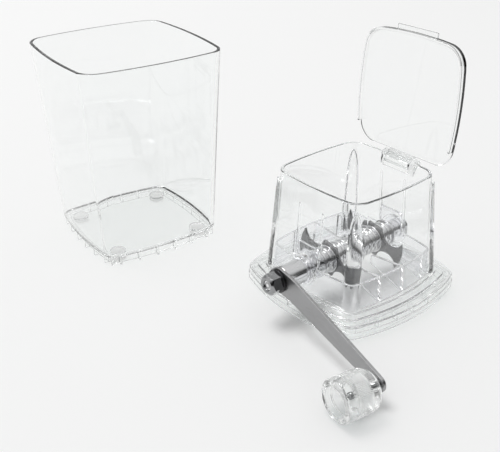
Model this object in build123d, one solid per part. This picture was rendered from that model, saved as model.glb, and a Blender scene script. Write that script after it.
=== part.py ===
from build123d import *
import math
import os

# Ice shaver with a crank: the head, with its hopper, lid, rotor and crank, and the bin that it sits on in
# use. Head and bin stand side by side on the table. Millimetres and degrees. The origin is on the table
# under the middle of the head. +Z is up, and +X runs along the shaft, from the crank to the lid's hinge.
#
# Each wall follows a square with bowed sides, given as its half width at the middle of a side, its corner
# radius and its crown, which is how far a side bows out.

# Hopper
rim_height = 96.0
rim_half, rim_corner, rim_crown = 43.6, 13.4, 1.5
foot_half, foot_corner, foot_crown = 49.4, 5.7, 4.3
hopper_wall = 2.4
guide_width = 1.4
guide_depth = 1.5
guide_top = 80.0
guide_foot_gap = 0.6

# Flange and skirt round the hopper's foot
flange_half, flange_corner, flange_crown = 65.6, 7.9, 8.0
flange_top = 13.7
flange_thickness = 2.3
flange_rounding = 1.0
skirt_bottom = 3.0
skirt_wall = 2.0
skirt_tier_height = 5.4
skirt_tier_step = 0.6
plinth_rises = [1.2, 1.1]
plinth_shares = [0.55, 0.19]

# Ribs on the hopper's corners
rib_top = 89.0
rib_step_height = 49.0
rib_foot_radius = 6.4
rib_neck_radius = 6.3
rib_stand_out = 2.0
# The ribs' upper ends: share of the way up, and share of the neck's radius there
rib_run_out = [(0.0, 0.95), (0.44, 0.9), (0.72, 0.7), (0.91, 0.42), (1.0, 0.08)]

# Shaft, bushes and bearing bosses
shaft_height = 32.3
journal_radius = 5.0
running_gap = 0.05
square_side = 10.0
boss_stand_out = 2.5
boss_radius = 12.0
bush_radius = 7.0
bush_length = 8.34
bush_flange_radius = 10.5
bush_flange_thickness = 1.8
seat_gap = 0.05
end_gap = 0.15

# Ice chamber inside the hopper
chamber_gap = 0.3
chamber_wall = 2.0
chamber_rim = 34.6
tab_half = 10.4
tab_height = 51.0
tooth_thickness = 2.6
tooth_tip = 15.0
tooth_tip_low, tooth_tip_high = 24.0, 31.0
tooth_foot_low = 14.0
tooth_offset = 5.75

# Rotor
blade_count = 2
blade_pitch = 46.0
blade_thickness = 2.0
blade_radius = 29.0
blade_half_width = 12.5
bite_centre = 17.0
bite_offset = 14.0
bite_radius = 10.4
blade_hub_radius = 11.4
spool_flange_radius = 10.8
spool_flange_width = 1.3
spool_bead_radius = 9.9
spool_bead_pitch = 5.0
spool_body_radius = 8.3
end_spool_width = 12.5
spools_between_blades = 2
thrust_collar_radius = 7.2
retaining_collar_radius = 7.6
retaining_collar_width = 4.6

# Sleeve, crank arm and its nut
sleeve_radius = 9.25
sleeve_length = 17.75
arm_thickness = 2.5
crank_reach = 109.0
crank_flare = 13.0
arm_bend = 14.0
arm_hub_radius = 9.7
arm_tip_radius = 5.6
arm_square = 7.0
washer_radius = 8.8
washer_thickness = 2.0
nut_flats = 14.4
nut_height = 9.4
nut_face_radius = 6.3
nut_chamfer_radius = 8.7
nut_chamfer = 1.5
stud_radius = 3.4
stud_end_gap = 1.2

# Knob and its pin
knob_radius = 14.6
knob_length = 33.0
knob_base_radius = 4.6
knob_front_rounding = 3.0
knob_recess_radius = 9.6
knob_recess_depth = 11.6
knob_gap = 0.4
knob_table_gap = 0.1
pin_radius = 1.8
pin_head_radius = 3.4
pin_head_height = 1.8

# Collar under the flange, which drops into the bin's rim
collar_gap = 1.0
collar_wall = 2.2
collar_ledge = 2.0
outlet_lip = 1.0
gusset_pitch = 16.5
gussets_each_side = 7
gusset_thickness = 1.8
gusset_foot = 7.0
gusset_gap = 0.25

# Lid, shown open, and its hinge
lid_open = 92.7
lid_gap = 0.5
lid_wall = 1.9
lid_thickness = 2.0
lid_skirt = 4.0
lid_lift = 0.6
lid_tab_width = 36.0
lid_tab_reach = 3.0
lid_tab_step = 0.2
hinge_offset = 3.2
hinge_drop = 2.4
knuckle_radius = 2.6
knuckle_half = 11.8
lug_reach = 1.8
ear_gap = 0.4
ear_widths = (6.0, 1.8)
ear_radius = 2.9
ear_flat = 2.3
ear_foot_drop = 10.0
ear_plate_rise = 0.6
ear_plate_gap = 0.8
hinge_pin_radius = 1.3
lug_gap = 0.5
heel_half = 11.8
heel_drop = 5.0
heel_reach = 1.0
heel_gap = 0.1

# Bin
bin_height = 162.6
bin_rim_half, bin_rim_corner, bin_rim_crown = 62.0, 16.0, 2.6
bin_foot_half, bin_foot_corner, bin_foot_crown = 54.4, 11.0, 3.1
bin_wall = 2.6
bin_wall_bottom = 8.3
bin_floor = 2.9
bin_floor_rise = 0.5
plinth_inset = 4.5
plinth_wall = 2.0
plinth_clearance = 0.8
plinth_rib_pitch = 16.0
plinth_ribs_each_side = 6
plinth_rib_thickness = 1.6
plinth_rib_inset = 1.0
bin_pad_radius = 6.5
bin_pad_height = 3.5
bin_pad_inset = 14.3
bin_x = -76.0
bin_sweep_gap = 4.0
bin_turn = -5.9

# Fillets inside a thick wall never get sharper than this
least_corner = 0.8

# How far a cutting or joining solid runs past the face it crosses
lap = 1.0


def between(low, high, low_z, high_z, z):
    """Shape at height z on the straight wall from one shape to another."""
    share = (z - low_z) / (high_z - low_z)
    return [a + share * (b - a) for a, b in zip(low, high)]


# Wall shapes and places worked out from the sizes above
foot_shape = (foot_half, foot_corner, foot_crown)
rim_shape = (rim_half, rim_corner, rim_crown)
flange_shape = (flange_half, flange_corner, flange_crown)
bin_rim_shape = (bin_rim_half, bin_rim_corner, bin_rim_crown)
bin_foot_shape = (bin_foot_half, bin_foot_corner, bin_foot_crown)
flange_bottom = flange_top - flange_thickness
skirt_inset = skirt_tier_step + skirt_wall

blade_planes = [(k - (blade_count - 1) / 2) * blade_pitch for k in range(blade_count)]
mid_planes = [0.5 * (a + b) for a, b in zip(blade_planes, blade_planes[1:])]
tooth_planes = [x + tooth_offset for x in blade_planes + mid_planes]
square_reach = blade_planes[-1] + blade_thickness / 2 + end_spool_width
boss_face = between(foot_shape, rim_shape, flange_top, rim_height, shaft_height)[0] + boss_stand_out
bush_face = boss_face + bush_flange_thickness
bush_inner_face = boss_face - bush_length
arm_inner_face = -(bush_face + end_gap + sleeve_length)
arm_outer_face = arm_inner_face - arm_thickness

knob_drop = math.degrees(math.asin((shaft_height - knob_radius - knob_table_gap) / crank_reach))
flare_turn = math.degrees(math.atan(crank_flare / (crank_reach - arm_bend)))
hinge_x = rim_half + hinge_offset
hinge_z = rim_height - hinge_drop
lid_underside = rim_height + lid_lift
bin_y = crank_reach + knob_radius + bin_sweep_gap + bin_foot_half

shaft_axis = Axis((0, 0, shaft_height), (1, 0, 0))
hinge_axis = Axis((hinge_x, 0, hinge_z), (0, 1, 0))
crank_place = Plane(origin=(arm_outer_face, 0, shaft_height), x_dir=(0, -1, 0), z_dir=(-1, 0, 0)).location
bin_place = Pos(bin_x, bin_y, 0) * Rot(0, 0, bin_turn)


def block(x_low, x_high, y_low, y_high, z_low, z_high):
    middle = Pos((x_low + x_high) / 2, (y_low + y_high) / 2, (z_low + z_high) / 2)
    return middle * Box(x_high - x_low, y_high - y_low, z_high - z_low)


def rod_x(radius, x_low, x_high, y=0.0, z=shaft_height):
    return Pos((x_low + x_high) / 2, y, z) * Rot(0, 90, 0) * Cylinder(radius, x_high - x_low)


def rod_y(radius, y_low, y_high, x=hinge_x, z=hinge_z):
    return Pos(x, (y_low + y_high) / 2, z) * Rot(90, 0, 0) * Cylinder(radius, y_high - y_low)


def square_bar(side, x_low, x_high):
    return block(x_low, x_high, -side / 2, side / 2, shaft_height - side / 2, shaft_height + side / 2)


def corner_bend(half, corner, crown, inset):
    """Centre along x and y, radius and turned angle of a corner's arc, for sides drawn in by inset."""
    side_radius = ((half - crown - corner) ** 2 + crown ** 2) / (2 * crown)
    radius = max(corner - inset, least_corner)
    reach = side_radius - inset - radius
    turn = math.pi / 4 - math.asin((side_radius - half) / (reach * math.sqrt(2)))
    return reach * math.sin(turn), radius, turn


def bowed_square(half, corner, crown, inset=0.0, z=0.0):
    """Face of a square with bowed sides at height z, drawn in by inset all round."""
    centre, radius, turn = corner_bend(half, corner, crown, inset)
    wide = centre + radius * math.cos(turn)
    narrow = centre + radius * math.sin(turn)
    diagonal = centre + radius * math.sqrt(0.5)
    edges = []
    for quarter in range(4):
        place = Rot(0, 0, 90 * quarter)
        side = Edge.make_three_point_arc((wide, -narrow), (half - inset, 0), (wide, narrow))
        bend = Edge.make_three_point_arc((wide, narrow), (diagonal, diagonal), (narrow, wide))
        edges += [place * side, place * bend]
    return Pos(0, 0, z) * Face(Wire(edges))


def prism(shape, inset, z_low, z_high):
    return extrude(bowed_square(*shape, inset, z_low), z_high - z_low, dir=(0, 0, 1))


def hopper_shape(z):
    return between(foot_shape, rim_shape, flange_top, rim_height, z)


def hopper_taper(inset, z_low, z_high):
    """Solid inside the hopper's tapering outside, drawn in by inset, from z_low to z_high."""
    ends = [flange_bottom - lap, rim_height + lap]
    faces = [bowed_square(*hopper_shape(z), inset, z) for z in ends]
    wide = foot_half + lap
    return loft(faces, ruled=True) & block(-wide, wide, -wide, wide, z_low, z_high)


def hopper_flange():
    """Stepped flange round the hopper's foot, with its two-tier skirt."""
    tier_top = skirt_bottom + skirt_tier_height
    upper = prism(flange_shape, skirt_tier_step, tier_top, flange_top)
    upper = fillet(upper.faces().sort_by(Axis.Z)[-1].edges(), flange_rounding)
    flange = upper + prism(flange_shape, 0, skirt_bottom, tier_top)
    flange -= prism(flange_shape, skirt_inset, skirt_bottom - lap, flange_bottom)
    top = flange_top
    for rise, share in zip(plinth_rises, plinth_shares):
        flange += prism(between(foot_shape, flange_shape, 0, 1, share), 0, flange_bottom, top + rise)
        top += rise
    return flange


def corner_rib(quarter):
    """Rib up one corner of the hopper, wide at the flange and running out to a point."""
    def section(z, radius):
        centre, bend, _ = corner_bend(*hopper_shape(z), 0)
        out = centre * math.sqrt(2) + bend + rib_stand_out - radius
        return Pos(out, 0, z) * Circle(radius)

    upper_height = rib_top - rib_step_height
    upper = [section(rib_step_height + a * upper_height, b * rib_neck_radius) for a, b in rib_run_out]
    lower = [section(flange_bottom, rib_foot_radius), section(rib_step_height, rib_neck_radius)]
    return Rot(0, 0, 45 + 90 * quarter) * (loft(lower, ruled=True) + loft(upper, ruled=True))


def hinge_ears():
    """A wide and a thin ear for the hinge pin, joined by a plate on the hopper's wall."""
    profile = make_face(Polyline(
        (rim_half - lap, hinge_z + ear_flat),
        (hinge_x, hinge_z + ear_flat),
        (hinge_x + ear_flat, hinge_z),
        (rim_half - lap, hinge_z - ear_foot_drop),
        close=True))
    near = knuckle_half + ear_gap
    ears = []
    for side, width in zip((-1, 1), ear_widths):
        ear = Plane.XZ.location * profile
        ear = extrude(ear, width, dir=(0, 1, 0))
        ear = Pos(0, near if side > 0 else -near - width, 0) * ear
        ear += rod_y(ear_radius, *sorted((side * near, side * (near + width))))
        ears.append(ear)
    plate = block(rim_half - lap, hinge_x - ear_plate_gap, -near - lap, near + lap,
                  hinge_z - ear_foot_drop + ear_plate_rise, hinge_z - heel_drop - ear_plate_gap)
    return [*ears, plate]


def bearing_boss(side):
    low, high = sorted((side * (foot_half - foot_crown - hopper_wall), side * boss_face))
    return rod_x(boss_radius, low, high)


def chamber_guides():
    """Upright pairs of rails on the inside of both bearing walls, which the chamber's tabs slide between."""
    middle = tab_half + chamber_gap + guide_width / 2
    shell = hopper_taper(hopper_wall / 2, chamber_rim + guide_foot_gap, guide_top)
    shell -= hopper_taper(hopper_wall + guide_depth, chamber_rim, guide_top + lap)
    low, high = middle - guide_width / 2, middle + guide_width / 2
    rails = block(-foot_half, foot_half, low, high, 0, rim_height)
    rails += block(-foot_half, foot_half, -high, -low, 0, rim_height)
    return shell & rails


def hopper_housing():
    body = hopper_taper(0, flange_bottom, rim_height) + hopper_flange()
    for quarter in range(4):
        body += corner_rib(quarter)
    for side in (-1, 1):
        body += bearing_boss(side)
    for ear in hinge_ears():
        body += ear
    body -= hopper_taper(hopper_wall, flange_bottom - lap, rim_height + lap)
    body += chamber_guides()
    body -= rod_x(bush_radius + seat_gap, -boss_face - lap, boss_face + lap)
    body -= rod_y(hinge_pin_radius + seat_gap, -foot_half, foot_half)
    return body


def chamber_tooth(x, side):
    """Upright fixed tooth that stands in from a side wall, between two blades."""
    wall = hopper_shape(chamber_rim)[0] - hopper_wall - chamber_gap - chamber_wall
    profile = make_face(Polyline(
        (side * foot_half, tooth_foot_low), (side * foot_half, chamber_rim), (side * wall, chamber_rim),
        (side * tooth_tip, tooth_tip_high), (side * tooth_tip, tooth_tip_low), close=True))
    tooth = extrude(Plane.YZ.location * profile, tooth_thickness, dir=(1, 0, 0))
    return Pos(x - tooth_thickness / 2, 0, 0) * tooth


def ice_chamber():
    outside = hopper_wall + chamber_gap
    walls = hopper_taper(outside, flange_bottom, chamber_rim)
    tabs = hopper_taper(outside, flange_bottom, tab_height)
    tabs &= block(-foot_half, foot_half, -tab_half, tab_half, 0, rim_height)
    body = walls + tabs - hopper_taper(outside + chamber_wall, flange_bottom - lap, rim_height)
    teeth = [chamber_tooth(x, side) for x in tooth_planes for side in (-1, 1)]
    for tooth in teeth:
        body += tooth & hopper_taper(outside + chamber_wall / 2, flange_bottom, chamber_rim)
    return body - rod_x(bush_radius + seat_gap, -foot_half, foot_half)


def base_collar():
    """Ring below the flange: a collar that fits inside the bin's rim, a ledge under the ice chamber, and
    gussets out to the skirt, which rest on the rim with their feet."""
    outside = bin_wall + collar_gap
    body = prism(bin_rim_shape, outside, 0, flange_bottom)
    body -= prism(bin_rim_shape, outside + collar_wall, -lap, flange_bottom - collar_ledge)
    band = prism(flange_shape, skirt_inset + gusset_gap, gusset_foot, flange_bottom)
    band -= prism(bin_rim_shape, outside + collar_wall / 2, 0, rim_height)
    for k in range(gussets_each_side):
        middle = (k - (gussets_each_side - 1) / 2) * gusset_pitch
        low, high = middle - gusset_thickness / 2, middle + gusset_thickness / 2
        body += band & block(-flange_half, flange_half, low, high, gusset_foot, flange_bottom)
        body += band & block(low, high, -flange_half, flange_half, gusset_foot, flange_bottom)
    opening = hopper_wall + chamber_gap + chamber_wall + outlet_lip
    return body - prism(hopper_shape(flange_bottom), opening, -lap, flange_bottom + lap)


def bush(side):
    """Flanged bush in one bearing boss, with its flange outside."""
    body = rod_x(bush_radius, bush_inner_face, boss_face)
    body += rod_x(bush_flange_radius, boss_face, bush_face)
    body -= rod_x(journal_radius + running_gap, bush_inner_face - lap, bush_face + lap)
    return body if side > 0 else body.mirror(Plane.YZ)


def turned(shape):
    """Turns a rotor or crank piece to its resting angle, with the knob on the table."""
    return shape.rotate(shaft_axis, knob_drop)


def rotor_shaft():
    far_end = bush_face + end_gap + retaining_collar_width
    arm_square_end = arm_outer_face - washer_thickness
    body = rod_x(journal_radius, arm_inner_face, far_end)
    body += square_bar(square_side, -square_reach, square_reach)
    body += square_bar(arm_square, arm_square_end, arm_inner_face)
    body += rod_x(stud_radius, arm_square_end - nut_height + stud_end_gap, arm_square_end)
    return turned(body)


def blade(x):
    """Thin steel blade with an axe head at each end, and concave sides between head and hub."""
    plan = Circle(blade_radius) & Rectangle(2 * blade_radius, 2 * blade_half_width)
    for u in (-bite_centre, bite_centre):
        for v in (-bite_offset, bite_offset):
            plan -= Pos(u, v) * Circle(bite_radius)
    plan += Circle(blade_hub_radius)
    plan -= Rectangle(square_side + 2 * seat_gap, square_side + 2 * seat_gap)
    place = Plane(origin=(x - blade_thickness / 2, 0, shaft_height), x_dir=(0, -1, 0), z_dir=(-1, 0, 0))
    return turned(extrude(place.location * plan, blade_thickness, dir=(1, 0, 0)))


def spool(x_low, x_high):
    """Bright spacer with a flange at each end and a row of beads between."""
    body = rod_x(spool_body_radius, x_low, x_high)
    body += rod_x(spool_flange_radius, x_low, x_low + spool_flange_width)
    body += rod_x(spool_flange_radius, x_high - spool_flange_width, x_high)
    span = x_high - x_low - 2 * spool_flange_width
    beads = max(round(span / spool_bead_pitch), 1)
    pitch = span / beads
    for k in range(beads):
        centre = x_low + spool_flange_width + (k + 0.5) * pitch
        body += rod_x(spool_bead_radius, centre - pitch / 4, centre + pitch / 4)
    return turned(body - square_bar(square_side + 2 * seat_gap, x_low - lap, x_high + lap))


def spool_spans():
    """Where each spacer starts and ends: one outside each end blade, and equal ones between two blades."""
    half = blade_thickness / 2
    spans = [(-square_reach, blade_planes[0] - half)]
    for low, high in zip(blade_planes, blade_planes[1:]):
        width = (high - low - blade_thickness) / spools_between_blades
        spans += [(low + half + k * width, low + half + (k + 1) * width) for k in range(spools_between_blades)]
    spans.append((blade_planes[-1] + half, square_reach))
    return spans


def thrust_collar(side):
    """Plain spacer between an end spool and a bush."""
    low, high = square_reach, bush_inner_face - end_gap
    body = rod_x(thrust_collar_radius, low, high) - rod_x(journal_radius + seat_gap, low - lap, high + lap)
    return body if side > 0 else body.mirror(Plane.YZ)


def drive_sleeve():
    low, high = arm_inner_face, -bush_face - end_gap
    body = rod_x(sleeve_radius, low, high)
    return body - rod_x(journal_radius + seat_gap, low - lap, high + lap)


def retaining_collar():
    low = bush_face + end_gap
    high = low + retaining_collar_width
    body = rod_x(retaining_collar_radius, low, high)
    return body - rod_x(journal_radius + seat_gap, low - lap, high + lap)


def crank_arm():
    """Flat bar that tapers to its tip and flares outwards from a bend beside the hub."""
    hub = Circle(arm_hub_radius).edges()
    tip = (Pos(crank_reach, 0) * Circle(arm_tip_radius)).edges()
    plan = Pos(0, 0, -2 * arm_thickness) * make_hull(hub + tip)
    bar = extrude(plan, 4 * arm_thickness + 2 * crank_flare, dir=(0, 0, 1))
    slope = math.tan(math.radians(flare_turn))
    depth = arm_thickness / math.cos(math.radians(flare_turn))
    inner_bend = arm_bend + (depth - arm_thickness) / slope
    far = crank_reach + 2 * arm_tip_radius
    near = -2 * arm_hub_radius
    side_view = make_face(Polyline(
        (near, 0), (arm_bend, 0), (far, (far - arm_bend) * slope), (far, (far - arm_bend) * slope - depth),
        (inner_bend, -arm_thickness), (near, -arm_thickness), close=True))
    band = extrude(Plane.XZ.location * side_view, 2 * arm_hub_radius, both=True)
    square = arm_square + 2 * seat_gap
    bar = (bar & band) - Box(square, square, 4 * arm_thickness)
    return turned(crank_place * (bar - knob_place() * Cylinder(pin_radius + seat_gap, 4 * arm_thickness)))


def knob_place():
    """Place of the knob's axis in the arm's frame: on the arm's outer face, square to the flared bar."""
    turn = math.radians(flare_turn)
    along = (math.cos(turn), 0, math.sin(turn))
    outwards = (-math.sin(turn), 0, math.cos(turn))
    return Plane(origin=(crank_reach, 0, crank_flare), x_dir=along, z_dir=outwards).location


def arm_washer():
    body = rod_x(washer_radius, arm_outer_face - washer_thickness, arm_outer_face)
    return turned(body - square_bar(arm_square + 2 * seat_gap, arm_outer_face - 2 * washer_thickness, 0))


def crank_nut():
    """Hexagon nut with a turned chamfer, and the stud's end just inside its face."""
    high = arm_outer_face - washer_thickness
    low = high - nut_height
    hexagon = RegularPolygon(nut_flats / 2, 6, major_radius=False)
    place = Plane(origin=(high, 0, shaft_height), x_dir=(0, -1, 0), z_dir=(-1, 0, 0)).location
    body = extrude(place * hexagon, nut_height, dir=(-1, 0, 0))
    turning = rod_x(nut_flats, low + nut_chamfer, high)
    cone = Cone(nut_chamfer_radius, nut_face_radius, nut_chamfer)
    turning += Pos(low + nut_chamfer / 2, 0, shaft_height) * Rot(0, -90, 0) * cone
    body &= turning
    return turned(body - rod_x(stud_radius + seat_gap, low - lap, high + lap))


def knob_profile():
    """Half section of the knob, radius against distance from the arm: a rounded base, a straight grip and
    a round recess in the front."""
    base_radius = knob_radius - knob_base_radius
    diagonal = base_radius * math.sqrt(0.5)
    base_centre = knob_gap + base_radius
    front = knob_length
    lip = knob_front_rounding
    lip_diagonal = lip * math.sqrt(0.5)
    bore = pin_radius + running_gap
    floor = knob_length - knob_recess_depth
    outline = Polyline((bore, knob_gap), (knob_base_radius, knob_gap))
    outline += ThreePointArc(
        (knob_base_radius, knob_gap),
        (knob_base_radius + diagonal, base_centre - diagonal),
        (knob_radius, base_centre))
    outline += Line((knob_radius, base_centre), (knob_radius, front - lip))
    outline += ThreePointArc(
        (knob_radius, front - lip),
        (knob_radius - lip + lip_diagonal, front - lip + lip_diagonal),
        (knob_radius - lip, front))
    outline += Polyline(
        (knob_radius - lip, front), (knob_recess_radius, front), (knob_recess_radius, floor),
        (bore, floor), (bore, knob_gap))
    return make_face(outline)


def crank_knob():
    body = revolve(Plane.XZ.location * knob_profile(), Axis.Z)
    return turned(crank_place * knob_place() * body)


def knob_pin():
    """Pin fixed in the arm, with its head at the bottom of the knob's recess."""
    floor = knob_length - knob_recess_depth + end_gap
    shank = floor + arm_thickness
    body = Pos(0, 0, floor - shank / 2) * Cylinder(pin_radius, shank)
    body += Pos(0, 0, floor + pin_head_height / 2) * Cylinder(pin_head_radius, pin_head_height)
    return turned(crank_place * knob_place() * body)


def lid():
    """Clear lid with a skirt on three sides, a thumb tab, a hinge knuckle, and a heel that stops it open."""
    outset = -(lid_gap + lid_wall)
    top = lid_underside + lid_thickness

    def plan(inset, back, z_low, z_high):
        whole = prism(rim_shape, inset, z_low, z_high)
        return whole & Pos(back, 0, 0) * whole

    back = outset - lug_gap + lid_gap
    body = plan(outset, back, lid_underside - lid_skirt, top)
    body = fillet(body.faces().sort_by(Axis.Z)[-1].edges(), lid_thickness / 2)
    body -= plan(-lid_gap, 0, lid_underside - lid_skirt - lap, lid_underside)
    body -= block(rim_half - rim_corner, 2 * rim_half, -rim_half, rim_half,
                  lid_underside - lid_skirt - lap, lid_underside)
    tab_edge = -rim_half + outset
    body += block(tab_edge - lid_tab_reach, tab_edge + lap, -lid_tab_width / 2, lid_tab_width / 2,
                  lid_underside, top - lid_tab_step)
    lug_low, lug_high = rim_half + lug_gap, hinge_x + lug_reach
    body += block(rim_half - rim_crown - lap, lug_high, -knuckle_half, knuckle_half, lid_underside, top)
    body += block(lug_low, lug_high, -knuckle_half, knuckle_half, hinge_z, top)
    body += rod_y(knuckle_radius, -knuckle_half, knuckle_half)
    body = body.rotate(hinge_axis, lid_open)
    wall_x = hopper_shape(hinge_z - heel_drop)[0] + heel_gap
    body += block(wall_x, hinge_x + heel_reach, -heel_half, heel_half, hinge_z - heel_drop, hinge_z)
    return body - rod_y(hinge_pin_radius + running_gap, -foot_half, foot_half)


def hinge_pin():
    near = knuckle_half + ear_gap
    return rod_y(hinge_pin_radius, -near - ear_widths[0], near + ear_widths[1])


def bin_taper(inset, z_low):
    low_shape = between(bin_foot_shape, bin_rim_shape, bin_wall_bottom, bin_height, z_low)
    high_z = bin_height + (lap if inset > 0 else 0)
    high_shape = between(bin_foot_shape, bin_rim_shape, bin_wall_bottom, bin_height, high_z)
    faces = [bowed_square(*low_shape, inset, z_low), bowed_square(*high_shape, inset, high_z)]
    return loft(faces, ruled=True)


def bin_pad_places():
    middle = bin_foot_half - bin_foot_crown - bin_pad_inset
    return [(x, y) for x in (-middle, middle) for y in (-middle, middle)]


def bin_body():
    """Clear tapering bin on a narrower ribbed plinth, hollow below its floor."""
    floor_high = bin_wall_bottom + bin_floor_rise
    floor_low = floor_high - bin_floor
    body = bin_taper(0, bin_wall_bottom) - bin_taper(bin_wall, floor_high)
    plinth = prism(bin_foot_shape, plinth_inset, plinth_clearance, floor_high)
    plinth -= prism(bin_foot_shape, plinth_inset + plinth_wall, plinth_clearance - lap, floor_low)
    body += plinth
    band = prism(bin_foot_shape, plinth_rib_inset, plinth_clearance, bin_wall_bottom)
    band -= prism(bin_foot_shape, plinth_inset + plinth_wall / 2, 0, bin_wall_bottom + lap)
    for k in range(plinth_ribs_each_side):
        middle = (k - (plinth_ribs_each_side - 1) / 2) * plinth_rib_pitch
        low, high = middle - plinth_rib_thickness / 2, middle + plinth_rib_thickness / 2
        body += band & block(-bin_foot_half, bin_foot_half, low, high, 0, bin_wall_bottom)
        body += band & block(low, high, -bin_foot_half, bin_foot_half, 0, bin_wall_bottom)
    for turn in (45, -45):
        body += band & (Rot(0, 0, turn) * Box(4 * bin_foot_half, plinth_rib_thickness, 2 * bin_wall_bottom))
    for x, y in bin_pad_places():
        body += Pos(x, y, (bin_pad_height + floor_low + lap) / 2) * Cylinder(
            bin_pad_radius, floor_low + lap - bin_pad_height)
    return bin_place * body


def bin_feet():
    """Four round feet, which carry the bin a little clear of its plinth."""
    feet = [Pos(x, y, bin_pad_height / 2) * Cylinder(bin_pad_radius, bin_pad_height)
            for x, y in bin_pad_places()]
    return bin_place * Compound(children=feet)


def all_pieces():
    pieces = {
        "hopper_housing": hopper_housing(),
        "ice_chamber": ice_chamber(),
        "base_collar": base_collar(),
        "bush_near": bush(-1),
        "bush_far": bush(1),
        "hinge_pin": hinge_pin(),
        "lid": lid(),
        "rotor_shaft": rotor_shaft(),
        "drive_sleeve": drive_sleeve(),
        "retaining_collar": retaining_collar(),
        "thrust_collar_near": thrust_collar(-1),
        "thrust_collar_far": thrust_collar(1),
        "crank_arm": crank_arm(),
        "arm_washer": arm_washer(),
        "crank_nut": crank_nut(),
        "knob_pin": knob_pin(),
        "crank_knob": crank_knob(),
        "bin_body": bin_body(),
        "bin_feet": bin_feet(),
    }
    for k, x in enumerate(blade_planes):
        pieces[f"blade_{k + 1}"] = blade(x)
    for k, (low, high) in enumerate(spool_spans()):
        pieces[f"spool_{k + 1}"] = spool(low, high)
    return pieces


def main():
    os.makedirs("parts", exist_ok=True)
    for name, piece in all_pieces().items():
        export_step(piece, f"parts/{name}.step")


if __name__ == "__main__":
    main()
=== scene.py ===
import math
import bpy
import bmesh
from mathutils import Matrix, Vector


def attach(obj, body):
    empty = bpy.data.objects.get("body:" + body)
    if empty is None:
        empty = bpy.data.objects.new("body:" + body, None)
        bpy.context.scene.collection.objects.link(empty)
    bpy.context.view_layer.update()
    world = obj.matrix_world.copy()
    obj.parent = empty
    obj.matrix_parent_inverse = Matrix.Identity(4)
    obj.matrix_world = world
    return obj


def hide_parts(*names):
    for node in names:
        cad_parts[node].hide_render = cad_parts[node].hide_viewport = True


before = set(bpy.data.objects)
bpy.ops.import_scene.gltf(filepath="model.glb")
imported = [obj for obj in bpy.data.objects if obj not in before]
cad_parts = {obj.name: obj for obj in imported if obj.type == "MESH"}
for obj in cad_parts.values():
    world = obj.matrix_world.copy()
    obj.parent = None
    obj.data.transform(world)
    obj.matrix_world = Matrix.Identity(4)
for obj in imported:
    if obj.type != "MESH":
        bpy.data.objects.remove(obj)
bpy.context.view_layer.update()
mm = 0.001
print("frame loaded")

# Wall outlines shared by the head, its insert, the lid and the bin: half width, corner radius, crown
walls = {
    "hopperRim": (43.6, 13.4, 1.5), "rimZ": 96.0,
    "hopperFoot": (49.4, 5.7, 4.3), "footZ": 13.7,
    "flange": (65.6, 7.9, 8.0),
    "binRim": (62.0, 16.0, 2.6), "binRimZ": 162.6,
    "binFoot": (54.4, 11.0, 3.1), "binFootZ": 8.3,
    "leastCorner": 0.8, "sideCuts": 16, "cornerCuts": 10,
}
centreRadius = 0.01  # how near a turned shape's end comes to its axis
shaft = {"z": 32.3, "restTurn": 9.292, "bossFace": 50.59, "innerBush": 42.26}
binPlace = Matrix.Translation((-76.0, 182.0, 0)) @ Matrix.Rotation(math.radians(-5.9), 4, "Z")
restTurn = (Matrix.Translation((0, 0, shaft["z"])) @ Matrix.Rotation(math.radians(shaft["restTurn"]), 4, "X")
            @ Matrix.Translation((0, 0, -shaft["z"])))


def between(low, high, share):
    return tuple(a + share * (b - a) for a, b in zip(low, high))


def hopperAt(z):
    rise = walls["rimZ"] - walls["footZ"]
    return between(walls["hopperFoot"], walls["hopperRim"], (z - walls["footZ"]) / rise)


def binAt(z):
    rise = walls["binRimZ"] - walls["binFootZ"]
    return between(walls["binFoot"], walls["binRim"], (z - walls["binFootZ"]) / rise)


def flangeAt(share):
    return between(walls["hopperFoot"], walls["flange"], share)


def outline(half, corner, crown, inset, z):
    # one ring of points round a square with bowed sides
    sideRadius = ((half - crown - corner) ** 2 + crown ** 2) / (2 * crown)
    radius = max(corner - inset, walls["leastCorner"])
    reach = sideRadius - inset - radius
    turn = math.pi / 4 - math.asin((sideRadius - half) / (reach * math.sqrt(2)))
    centre = reach * math.sin(turn)
    ring = []
    for quarter in range(4):
        spin = Matrix.Rotation(math.radians(90 * quarter), 3, "Z")
        for k in range(walls["sideCuts"]):
            a = turn * (2 * k / walls["sideCuts"] - 1)
            side = sideRadius - inset
            ring.append(spin @ Vector((half - sideRadius + side * math.cos(a), side * math.sin(a), z)))
        for k in range(walls["cornerCuts"]):
            a = turn + (math.pi / 2 - 2 * turn) * k / walls["cornerCuts"]
            ring.append(spin @ Vector((centre + radius * math.cos(a), centre + radius * math.sin(a), z)))
    return ring


def softened(path, closed, cuts=4):
    # rounds each point of a path by its last number, the radius, with a small curve
    points = [p[:-1] for p in path]
    count = len(points)
    out = []
    for k, p in enumerate(points):
        radius = path[k][-1]
        if radius == 0 or (not closed and k in (0, count - 1)):
            out.append(p)
            continue
        ends = []
        for other in (points[k - 1], points[(k + 1) % count]):
            if len(p) == 5:
                gap = math.hypot((other[0] - other[3]) - (p[0] - p[3]), other[4] - p[4])
            else:
                gap = math.dist(other, p)
            ends.append(between(p, other, min(radius / gap, 0.48)))
        for cut in range(cuts + 1):
            t = cut / cuts
            out.append(between(between(ends[0], p, t), between(p, ends[1], t), t))
    return out


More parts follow.
